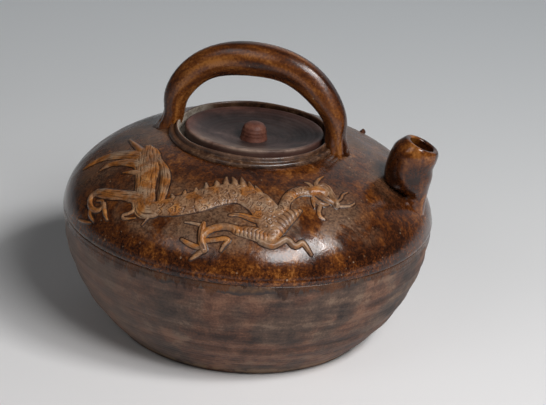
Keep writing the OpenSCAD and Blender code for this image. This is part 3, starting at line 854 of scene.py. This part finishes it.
flare = FLARE * np.exp(-((z - ROOT_Z + ROOT_SINK) / 5.5) ** 2) * np.where(x < 0, 1.2, 0.5)
grow = lump * 0.6 + ridge + pressed + flare * (0.3 + 0.7 * np.clip(np.cos(side), 0, 1))
across = (thick / 2 + grow) * np.cos(side)
move(handle, np.stack([x + out_x * across, (wide / 2 + grow) * np.sin(side), z + out_z * across], -1))
carry(handle, "along", np.stack([bend * COMB, across, (wide / 2) * np.sin(side)], -1) * MM)
ready(handle, "handle_brown_glaze", "pot", "brown_glaze", handle_glaze, "handle")

# %% [markdown]
# ## The spout
# The stub spout swells above its narrow neck and closes to a tilted mouth. It is a tube as well: the rings
# run up the outside, over the lip and down the bore, and the two open ends are bridged under the surface of
# the shoulder. A station is its reach and rise from the foot, its tilt in degrees and its width.

# %% Spout
SPOUT_SIDES = 48
STATIONS = [(5.8, -10.5, 37.1, 22.0), (6.8, -5.0, 28.0, 18.6), (7.0, -1.0, 16.0, 17.6), (4.8, 2.2, 5.0, 22.6),
            (1.9, 6.6, 0.0, 30.0), (1.7, 13.0, 3.0, 32.4), (2.4, 21.0, 9.0, 31.4), (5.0, 28.8, 16.0, 30.8),
            (7.8, 33.2, 20.0, 27.4)]
BORE = [(8.7, 34.6, 22.0, 17.6), (7.4, 32.0, 19.0, 18.6), (5.4, 27.4, 16.0, 20.4), (4.0, 19.6, 8.0, 20.0),
        (4.6, 9.6, 6.0, 17.0), (6.4, 1.0, 16.0, 12.0), (6.4, -5.0, 30.0, 12.0), (5.6, -9.6, 37.1, 12.4)]
LIP = (8.7, 34.4, 22.0, 21.2)
LIP_SWELL = (0.5, 1.5, 4.2)
MOUTH_ASKEW = 0.12


def smooth(rows, count):
    """A smooth row of points through given ones, by a Catmull-Rom spline."""
    rows = np.asarray(rows, float)
    at = np.linspace(0, len(rows) - 1, count)
    i = np.clip(at.astype(int), 0, len(rows) - 2)
    t = (at - i)[:, None]
    a, b, c, d = (rows[np.clip(i + k, 0, len(rows) - 1)] for k in (-1, 0, 1, 2))
    square = (2 * a - 5 * b + 4 * c - d) * t ** 2
    cube = (3 * b - a - 3 * c + d) * t ** 3
    return b + ((c - a) * t + square + cube) / 2


def pick_faces(obj, chosen):
    """Selects faces of the active piece in edit mode, by a yes or no for each."""
    edit("DESELECT")
    bpy.ops.mesh.select_mode(type="FACE")
    leave()
    obj.data.polygons.foreach_set("select", chosen)
    bpy.ops.object.mode_set(mode="EDIT")


reach, rise, tilt, wide = LIP
lip = [(reach + LIP_SWELL[0] * math.sin(a), rise + LIP_SWELL[1] * math.sin(a), tilt,
        wide + LIP_SWELL[2] * math.cos(a)) for a in np.linspace(0.3, 2.8, 10)]
rows = np.concatenate([smooth(STATIONS, 46), lip, smooth(BORE, 40)])
spout, ring, side = tube(SPOUT_SIDES, len(rows))
pick_faces(spout, [len(face.vertices) > 4 for face in spout.data.polygons])
bpy.ops.mesh.delete(type="ONLY_FACE")
bpy.ops.mesh.select_mode(type="EDGE")
bpy.ops.mesh.select_non_manifold()
bpy.ops.mesh.bridge_edge_loops()
leave()
reach, rise, tilt, wide = rows[ring].T
tilt = np.radians(tilt)
half = wide / 2 + 0.25 * np.sin(2 * side + ring * 0.07) + 0.15 * np.sin(3 * side - ring * 0.11)
flat = half * np.cos(side)
place = np.stack([SPOUT_FOOT[0] + reach + flat * np.cos(tilt), half * np.sin(side),
                  SPOUT_FOOT[2] + rise - flat * np.sin(tilt)], -1)
place[:, 2] -= MOUTH_ASKEW * place[:, 1] * np.clip((rise - 22) / 12, 0, 1)
move(spout, place)
face_out()
ready(spout, "spout_brown_glaze", "pot", "brown_glaze", spout_glaze, "spout")

# %% [markdown]
# ## How the dragon is laid on
# The dragon is rolled, cut and stamped clay on the curved shoulder. Each of its pieces is a few strokes. A
# stroke is a line of azimuth, latitude and half breadth, then its height and, unless it is plain, its stamp
# and the stamp's pitch. A fine grid is laid over the strokes, each vertex is lifted by the highest of them,
# what stays under the surface is deleted, and the sheet is extruded to a closed body whose underside lies in
# the wall. A thin pool of glaze lies round each stroke.

# %% Relief tools
GRID = 0.40
SUNK = -0.7
UNDER = -1.8
POOL = 0.9
POOL_HIGH = 0.2
WORN = 0.68
STAMP_DEEP = 0.55
LINE_POINTS = 24
BATCH = 4000


def ring_stamp(s, t, pitch):
    """Depth of rows of scallops, staggered like scales, at s along and t across a stroke in millimetres."""
    across = 0.82 * pitch
    s = s + 0.9 * np.sin(t * 0.8 + s * 0.33)
    t = t + 0.7 * np.sin(s * 0.7 + 1)
    row = np.rint(t / across)
    shift = s / pitch + 0.5 * (row % 2) + 0.13 * np.sin(row * 2.7)
    cell = np.rint(shift)
    chance = np.sin(cell * 12.99 + row * 78.23) * 43758.5
    chance = chance - np.floor(chance)
    ds = (shift - cell) * pitch + 0.5 * (chance - 0.5)
    dt = t - row * across + 0.6 * (chance * 7 % 1 - 0.5)
    far = np.hypot(ds, dt)
    opening = np.clip(0.55 + 0.75 * ds / (far + 0.05), 0, 1)
    outer = np.exp(-((far - 0.43 * pitch) / 0.42) ** 2) * opening
    return (outer + 0.7 * np.exp(-((far - 0.16 * pitch) / 0.34) ** 2)) * (0.55 + 0.6 * chance)


def grooves(across, pitch):
    return np.clip(np.cos(2 * np.pi * across / pitch), 0, 1) ** 2


def bows(s, t, pitch):
    """Depth of bowed grooves across a stroke, one behind the other."""
    return grooves(s + 0.10 * t ** 2 + 0.3 * np.sin(t * 1.3), pitch)


def arcs(s, t, pitch):
    """Depth of grooves that circle the start of a stroke."""
    return grooves(np.hypot(s + 2, t + 0.8), pitch)


def strands(s, t, pitch):
    """Depth of grooves that run along a stroke, as in combed hair."""
    bent = t + 0.3 * pitch * np.sin(s / 5 + 0.6 * t)
    return grooves(bent, pitch) * (0.68 + 0.32 * np.sin(s * 0.43 + t * 1.7))


def plain(s, t, pitch):
    return np.zeros_like(s)


def nearest(base, spine):
    """The number of the nearest point of a line for each place, in batches that fit the memory."""
    near = np.empty(len(base), int)
    for first in range(0, len(base), BATCH):
        part = base[first:first + BATCH]
        away = (part ** 2).sum(1)[:, None] - 2 * part @ spine.T + (spine ** 2).sum(1)
        near[first:first + BATCH] = np.argmin(away, 1)
    return near


def stroke_rise(base, line, height, stamp=plain, pitch=1):
    """The lift that one stroke gives each place, the stamp's depth there and the share of the full height."""
    az, lat = np.radians(line[:, :2]).T
    spine = on_shoulder(az, lat, np.zeros(len(line)))
    go = np.gradient(spine, axis=0)
    tangent = go / np.linalg.norm(go, axis=1)[:, None]
    run = np.concatenate([[0], np.cumsum(np.linalg.norm(np.diff(spine, axis=0), axis=1))])
    left = np.cross(on_shoulder(az, lat, np.ones(len(line))) - spine, tangent)
    near = nearest(base, spine)
    gap = base - spine[near]
    s = run[near] + (gap * tangent[near]).sum(1)
    t = (gap * left[near]).sum(1)
    at_end = (near == 0) | (near == len(spine) - 1)
    past = np.maximum(np.where(at_end, np.maximum(-s, s - run[-1]), 0), 0)
    half = np.maximum(line[near, 2], 0.3)
    inside = 1 - (t ** 2 + past ** 2) / half ** 2
    body = WORN * height * np.clip(half / 2.0, 0.35, 1) * np.clip(inside, 0, 1) ** 0.6
    form = np.where(inside > 0, body, SUNK)
    mark = stamp(s, t, pitch) * np.clip(inside * 4, 0, 1)
    beyond = np.maximum(np.hypot(t, past) - half, 0)
    pool = np.where(beyond < POOL, POOL_HIGH * (1 - beyond / POOL), -1.5 * (beyond - POOL))
    rise = np.maximum(np.maximum(form - STAMP_DEEP * mark * min(height, 3) / 3, pool), SUNK)
    return rise, mark, np.clip(form / (WORN * height), 0, 1)


def lay(name, nodes, *strokes):
    """Makes a closed piece of relief out of strokes, in place of CAD nodes."""
    lines = [smooth(rows, LINE_POINTS * len(rows)) for rows, *_ in strokes]
    every = np.concatenate(lines)
    lat_mid = np.radians(every[:, 1].mean())
    mm_az = BELLY_R * math.cos(lat_mid) * math.pi / 180
    mm_lat = math.hypot(BELLY_R * math.sin(lat_mid), RISE * math.cos(lat_mid)) * math.pi / 180
    margin = (every[:, 2].max() + 2) / np.array([mm_az, mm_lat])
    low = every[:, :2].min(0) - margin
    size = every[:, :2].max(0) + margin - low
    bpy.ops.object.select_all(action="DESELECT")
    bpy.ops.mesh.primitive_grid_add(x_subdivisions=int(size[0] * mm_az / GRID),
                                    y_subdivisions=int(size[1] * mm_lat / GRID), size=2)
    obj = bpy.context.object
    az, lat = np.radians(low + (points(obj)[:, :2] * MM + 1) / 2 * size).T
    base = on_shoulder(az, lat, np.zeros(len(az)))
    lift = np.full(len(az), SUNK)
    groove = np.zeros(len(az))
    tall = np.zeros(len(az))
    for line, (_, *stroke) in zip(lines, strokes):
        rise, mark, share = stroke_rise(base, line, *stroke)
        on_top = rise > lift
        lift = np.where(on_top, rise, lift)
        groove = np.where(on_top, mark, groove)
        tall = np.where(on_top, share, tall)
    move(obj, on_shoulder(az, lat, lift))
    carry(obj, "high", tall)
    carry(obj, "groove", groove)
    corners = np.array([face.vertices[:] for face in obj.data.polygons])
    pick_faces(obj, (lift[corners] <= SUNK + 1e-6).all(1))
    bpy.ops.mesh.delete(type="FACE")
    bpy.ops.mesh.select_all(action="SELECT")
    bpy.ops.mesh.extrude_region_move(TRANSFORM_OT_translate={"value": (0, 0, 0)})
    leave()
    fresh = np.zeros(len(obj.data.vertices), bool)
    obj.data.vertices.foreach_get("select", fresh)
    place = points(obj)
    az, radius = polar(place)
    lat = np.arctan2((place[:, 2] - BELLY_Z) / RISE, radius / BELLY_R)
    place[~fresh] = on_shoulder(az, lat, np.full(len(az), UNDER))[~fresh]
    move(obj, place)
    face_out()
    ready(obj, name, "pot", "relief_clay", dragon_clay, *nodes)


print("relief grid", GRID, "mm")

# %% [markdown]
# ## The dragon's body
# The body arches from the tail's root over the back and down to the chest, and the neck rises from the chest
# in a hook. Both are stamped all over with rings, as scales, and the chest with arcs.

# %% Torso, chest and neck
lay("dragon_torso_relief", ["dragon_torso", "dragon_raised_fore_leg"],
    ([(-111.2, 33.2, 5.4), (-105, 36.7, 7.6), (-100.9, 39.5, 8.6), (-96.5, 42.5, 9.2), (-92.1, 45.6, 9.2),
     (-87.5, 48, 9), (-82.9, 49, 8.7), (-78.4, 48.6, 8.3), (-74.1, 46.5, 8.4), (-71, 43.3, 8.4),
     (-68.9, 39.5, 8.6), (-67.8, 35.3, 8.6), (-67.3, 31.1, 7.4), (-67.8, 27.7, 4.6)], 3.6, ring_stamp, 5.2),
    ([(-68, 27.9, 4.4), (-66, 32.1, 6.2), (-63.4, 36.1, 6.6), (-60.5, 38.4, 5.4), (-57.8, 39.7, 3.6),
     (-55.1, 40.8, 1)], 3.6, arcs, 3.4))

lay("dragon_neck_relief", ["dragon_neck"],
    ([(-64.3, 39.8, 4.2), (-61.8, 42.5, 4.0), (-60.5, 45.1, 3.4), (-58.4, 47.6, 3.6), (-54.8, 49.7, 4.0),
     (-50.4, 50.4, 4.2), (-46.4, 49.5, 4.4)], 3.4, ring_stamp, 4.4))

# %% [markdown]
# ## The dragon's head
# The head is built of small strokes: skull, face, cheek and jaw, then the horns, whiskers and beard.

# %% Head, horns, whiskers and beard
lay("dragon_head_relief", ["dragon_head"],
    ([(-46.7, 49.3, 3.6), (-43.8, 49.3, 4.6), (-41.1, 48, 3.8)], 4.6),
    ([(-42, 51.2, 1.5), (-39.3, 50.9, 2.0), (-37.8, 49.1, 2.2), (-38.1, 46.3, 2.0), (-38.6, 43.4, 2.0),
     (-39.1, 40.8, 2.5)], 4.4, strands, 2.0),
    ([(-44.1, 47.5, 2.4), (-42.2, 44.9, 2.4), (-40.1, 42.2, 1.6)], 3.6, strands, 2.2),
    ([(-47.3, 46.2, 1.5), (-46.1, 43.7, 1.7), (-44.4, 42.3, 1.6), (-42.2, 42, 0.8)], 3.2))

lay("dragon_horns_relief", ["dragon_horns"],
    ([(-42.7, 51.2, 1.6), (-40.9, 53.1, 1.3), (-37.9, 54.6, 1.0), (-33.9, 55.4, 0.5)], 2.6),
    ([(-44.5, 51.4, 1.4), (-44.9, 53.4, 1.0), (-46.6, 54.4, 0.5)], 2.2))

lay("dragon_whiskers_relief", ["dragon_whiskers"],
    ([(-38.8, 42.5, 1.0), (-35.6, 43.1, 0.9), (-32.3, 45, 0.8), (-29.7, 45.2, 0.4)], 1.8),
    ([(-38.7, 40.4, 1.0), (-35.7, 39.5, 0.9), (-32.8, 39.1, 0.8), (-30.3, 39.7, 0.4)], 1.8))

lay("dragon_beard_relief", ["dragon_beard"],
    ([(-45.4, 42.7, 1.4), (-47.7, 39.5, 1.3), (-48, 37, 1.0), (-46.8, 35.4, 0.5)], 2.4),
    ([(-47.5, 45.9, 1.4), (-48.3, 43.6, 1.2), (-48.8, 41.5, 0.5)], 2.4))

# %% [markdown]
# ## Spines, legs and claws
# Short flames of clay stand along the back. The near hind leg runs back from the chest to a foot with three
# toes, the fore leg waves forward, and the far hind leg curls at the left.

# %% Spines, legs and claws
SPINE_FEET = [(-107, 40.5), (-103.4, 43.6), (-99.7, 46.5), (-96, 49.4), (-92.2, 52.3), (-88.3, 54.3),
              (-84.2, 55.3), (-79.9, 55.2), (-75.9, 53.7), (-71.7, 51.1), (-68.3, 48), (-65.7, 44.6)]


def flame(k, az, lat):
    tip = (az - 1.4 + 0.4 * (k % 3), lat + 1.7 + 0.7 * (k % 2), 0.5)
    return [(az + 0.8, lat - 1.8, 2.3), (az, lat + 0.2, 1.7), tip], 2.3


lay("dragon_spines_relief", ["dragon_crest"], *[flame(k, *foot) for k, foot in enumerate(SPINE_FEET)])

lay("dragon_near_hind_leg_relief", ["dragon_near_hind_leg"],
    ([(-67.8, 28.1, 4.8), (-70.6, 28.7, 5.2), (-73.5, 29.7, 4.8), (-76.7, 30.4, 3.9), (-79.3, 30.8, 3.1),
     (-80.6, 31.5, 2.5)], 3.6, bows, 2.6),
    ([(-78.7, 30.8, 2.2), (-80.4, 31.7, 2.4), (-83.4, 32, 2.5), (-86.6, 30.9, 2.6), (-89.1, 28.7, 2.6),
     (-90, 26.7, 2.6)], 3.6),
    ([(-91.1, 32, 1.6), (-90.9, 28.7, 2.6), (-90.4, 24.7, 2.6), (-89.7, 21.2, 2.6), (-88.9, 18.7, 2.4)],
     3.8, strands, 3.4))

lay("dragon_claws_relief", ["dragon_claws"],
    ([(-90.5, 19.6, 1.6), (-92.4, 19.8, 1.6), (-94.1, 20.5, 1.5), (-96.7, 21.9, 1.0)], 2.8),
    ([(-88.9, 18.7, 1.7), (-90.5, 15.7, 1.5), (-92.4, 12.3, 0.8)], 2.8),
    ([(-89.3, 23.5, 1.5), (-86, 24.7, 1.5), (-83.2, 26, 1.5), (-81.7, 25.3, 1.4), (-82.8, 22.6, 1.3),
     (-83.6, 19.2, 0.8)], 2.8),
    ([(-91.2, 30.9, 1.2), (-94.7, 31.2, 0.9), (-97.7, 30.9, 0.5)], 2.2))

lay("dragon_fore_leg_relief", ["dragon_fore_leg"],
    ([(-71.2, 25.9, 2.2), (-69.1, 24.4, 2.2), (-67, 24, 2.2), (-65.2, 25.3, 2.1), (-62.9, 27, 2.1),
     (-61.7, 26, 2.1), (-60.6, 23.8, 2.1), (-59.3, 23.6, 1.9), (-57.7, 24.9, 1.8), (-56.8, 23.7, 1.7),
     (-55.2, 18.5, 1.1)], 3.4))

lay("dragon_far_hind_leg_relief", ["dragon_far_hind_leg"],
    ([(-116.1, 35.4, 5.2), (-121.5, 34.4, 4.8), (-126.1, 32.9, 4.0), (-130.2, 30.7, 4.2),
     (-134.8, 28.5, 4.0), (-137.9, 26.8, 3.0)], 3.0, strands, 2.2),
    ([(-136.6, 27.6, 2.6), (-139, 24.6, 2.4), (-138, 20.8, 2.2), (-134.5, 18.6, 2.0), (-131.5, 20, 1.7),
     (-130.9, 22.9, 1.5), (-132.9, 24.8, 1.2), (-135, 23.5, 0.8)], 2.8, strands, 2.6),
    ([(-131.1, 24.2, 1.7), (-128.3, 21, 1.6), (-125.6, 18.2, 0.7)], 2.6),
    ([(-135.7, 19.5, 1.7), (-134.1, 15.4, 1.4), (-130.8, 13.4, 0.6)], 2.6))

# %% [markdown]
# ## Tail, plume and scrolls
# The hind body turns up into a broad tail, combed like hair. Its plume sweeps away to the left, and a few
# scrolls of clay fill the ground below and in front of it.

# %% Tail, plume and scrolls
lay("dragon_tail_relief", ["dragon_tail"],
    ([(-111.2, 32.3, 6.4), (-114.5, 32, 8.0), (-118.1, 36.3, 7.8), (-122.6, 42, 7.4), (-128.4, 47.3, 8.6),
     (-136, 50.9, 9.8), (-143.7, 53.4, 7.6), (-148.1, 54.4, 3.6)], 2.9, strands, 2.1),
    ([(-111.2, 32.5, 4.0), (-116, 33.7, 4.6), (-120.2, 38.8, 4.4), (-124.4, 44, 4.2), (-130.6, 48.6, 4),
     (-137.5, 51.3, 3)], 3.2, ring_stamp, 3.4),
    ([(-110.1, 35.9, 2.2), (-112.3, 41, 3.2), (-115.3, 46.2, 3.6), (-119.1, 49.7, 3.4), (-124.7, 52.4, 2.8),
     (-131.6, 54.1, 1.8)], 2.6, strands, 2.0))

lay("dragon_tail_plume_relief", ["dragon_tail_plume"],
    ([(-139.2, 50.6, 5.4), (-144.4, 49.6, 5.4), (-150.5, 45.9, 5.0), (-155.3, 40.6, 4.2),
     (-157.4, 35.6, 3.2), (-158.1, 31.1, 2.2), (-159.1, 25.9, 0.6)], 2.2, strands, 2.0),
    ([(-134.2, 48, 4.4), (-138.5, 47, 4.2), (-143.6, 44.6, 3.6), (-147.4, 40.8, 2.8), (-148.9, 37.1, 2.0),
     (-148.8, 33.6, 0.6)], 2.2, strands, 2.0),
    ([(-129.2, 45.4, 2.2), (-134.1, 43.5, 1.8), (-137.7, 40.6, 0.6)], 2.2),
    ([(-144.9, 52.1, 3.0), (-152.7, 51.2, 2.2), (-159.3, 50, 1.6), (-165.7, 48.6, 0.6)], 2.4))

lay("dragon_scrolls_relief", ["dragon_scrolls"],
    ([(-120.2, 31.8, 1.3), (-118.1, 29.1, 1.2), (-119, 26.2, 1.2), (-120.7, 24.1, 1.1), (-119.5, 22.8, 1.0),
     (-115.6, 25.4, 0.5)], 2.0),
    ([(-116.8, 31.9, 1.3), (-113.8, 29.9, 1.2), (-110.5, 29.9, 0.5)], 2.0),
    ([(-138.7, 8, 0.8), (-135.1, 9.7, 1.1), (-131.8, 11.8, 0.5)], 1.8),
    ([(-110.3, 30.1, 0.9), (-111.3, 27, 0.8), (-111.9, 23.3, 0.5)], 1.6),
    ([(-82.7, 38, 0.8), (-78.6, 38.6, 1.6), (-74.8, 37.3, 2.3), (-71.1, 36.1, 2.6), (-68.4, 35.3, 2.6)],
     2.6, strands, 2.6))

# %% [markdown]
# ## A kiln nub
# A crumb of clay fell on the shoulder in the kiln and was glazed over. It is a small sphere, pulled out of
# round by moving its vertices, and sunk into the wall.

# %% Kiln nub
NUB_R = 2.0
NUB_AT = np.radians([52, 39.5])
NUB_LIFT = np.array(0.6)
bpy.ops.object.select_all(action="DESELECT")
bpy.ops.mesh.primitive_ico_sphere_add(subdivisions=3, radius=NUB_R * MM)
nub = bpy.context.object
ball = points(nub)
ball *= (1 + 0.22 * np.sin(ball[:, :1] * 1.7 + 1) + 0.18 * np.sin(ball[:, 1:2] * 2.1)
         + 0.2 * np.sin(ball[:, 2:] * 1.3 + 2))
move(nub, ball + on_shoulder(*NUB_AT, NUB_LIFT))
bpy.ops.object.shade_smooth()
ready(nub, "kiln_nub", "pot", "brown_glaze", spout_glaze)
